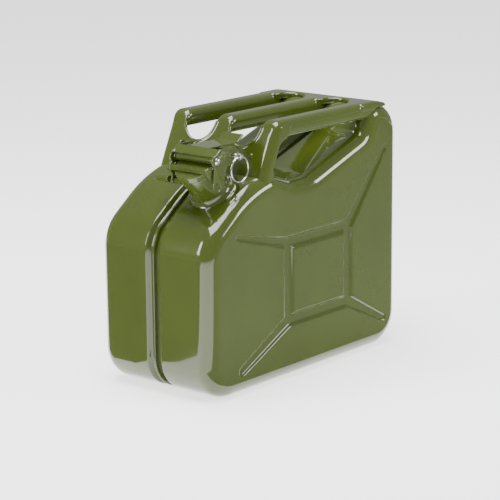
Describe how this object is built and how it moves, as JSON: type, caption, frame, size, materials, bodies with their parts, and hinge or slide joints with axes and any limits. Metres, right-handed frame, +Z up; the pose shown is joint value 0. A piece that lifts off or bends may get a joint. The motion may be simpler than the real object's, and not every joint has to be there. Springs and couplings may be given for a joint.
{
  "type": "fuel can",
  "caption": "Flat upright steel fuel can with pressed side panels, a bar handle and a tilted neck closed by a cam lever lid with a safety pin.",
  "frame": {"origin": "middle of the footprint on the ground", "axes": "X along the can with the spout at -X, Y across the can, +Z up"},
  "size_m": [0.345, 0.165, 0.297],
  "materials": {
    "olive_enamel": "gloss",
    "zinc_plate": "bright",
    "rubber": "matte"
  },
  "bodies": {
    "can": {"left_shell": "olive_enamel", "right_shell": "olive_enamel", "seam_flange": "olive_enamel", "neck": "olive_enamel", "neck_weld": "olive_enamel", "neck_collar": "olive_enamel", "breather_tube": "zinc_plate", "hinge_bracket_left": "olive_enamel", "hinge_bracket_right": "olive_enamel", "hinge_pin": "zinc_plate", "trunnion_left": "olive_enamel", "trunnion_right": "olive_enamel", "handle_apron": "olive_enamel", "handle_flange_left": "olive_enamel", "handle_flange_right": "olive_enamel", "handle_bar_left": "olive_enamel", "handle_bar_centre": "olive_enamel", "handle_bar_right": "olive_enamel", "handle_rear_plate": "olive_enamel", "handle_spot_welds": "olive_enamel"},
    "cap": {"lid": "olive_enamel", "gasket": "rubber", "lid_rivets": "zinc_plate", "yoke": "olive_enamel", "lever_pin": "zinc_plate"},
    "lever": {"lever": "olive_enamel"},
    "safety_pin": {"locking_pin": "zinc_plate"},
    "ring": {"pin_ring": "zinc_plate"}
  },
  "joints": [
    {"name": "lever_swing", "type": "hinge", "parent": "cap", "child": "lever", "pos_m": [-0.13938, -0.036, 0.26505], "axis": [0, -1, 0], "range_deg": [0, 115]},
    {"name": "lid_hinge", "type": "hinge", "parent": "can", "child": "cap", "pos_m": [-0.10739, -0.036, 0.27037], "axis": [0, 1, 0], "range_deg": [0, 90]},
    {"name": "pin_slide", "type": "slide", "parent": "lever", "child": "safety_pin", "axis": [0, -1, 0], "range_m": [-0.0048, 0.02]},
    {"name": "ring_swing", "type": "hinge", "parent": "safety_pin", "child": "ring", "pos_m": [-0.11453, -0.078, 0.26827], "axis": [-1, 0, 0], "range_deg": [-5, 95]}
  ],
  "couplings": [
    {"joint": "lid_hinge", "follows": "lever_swing", "ratio": 0.78261}
  ]
}
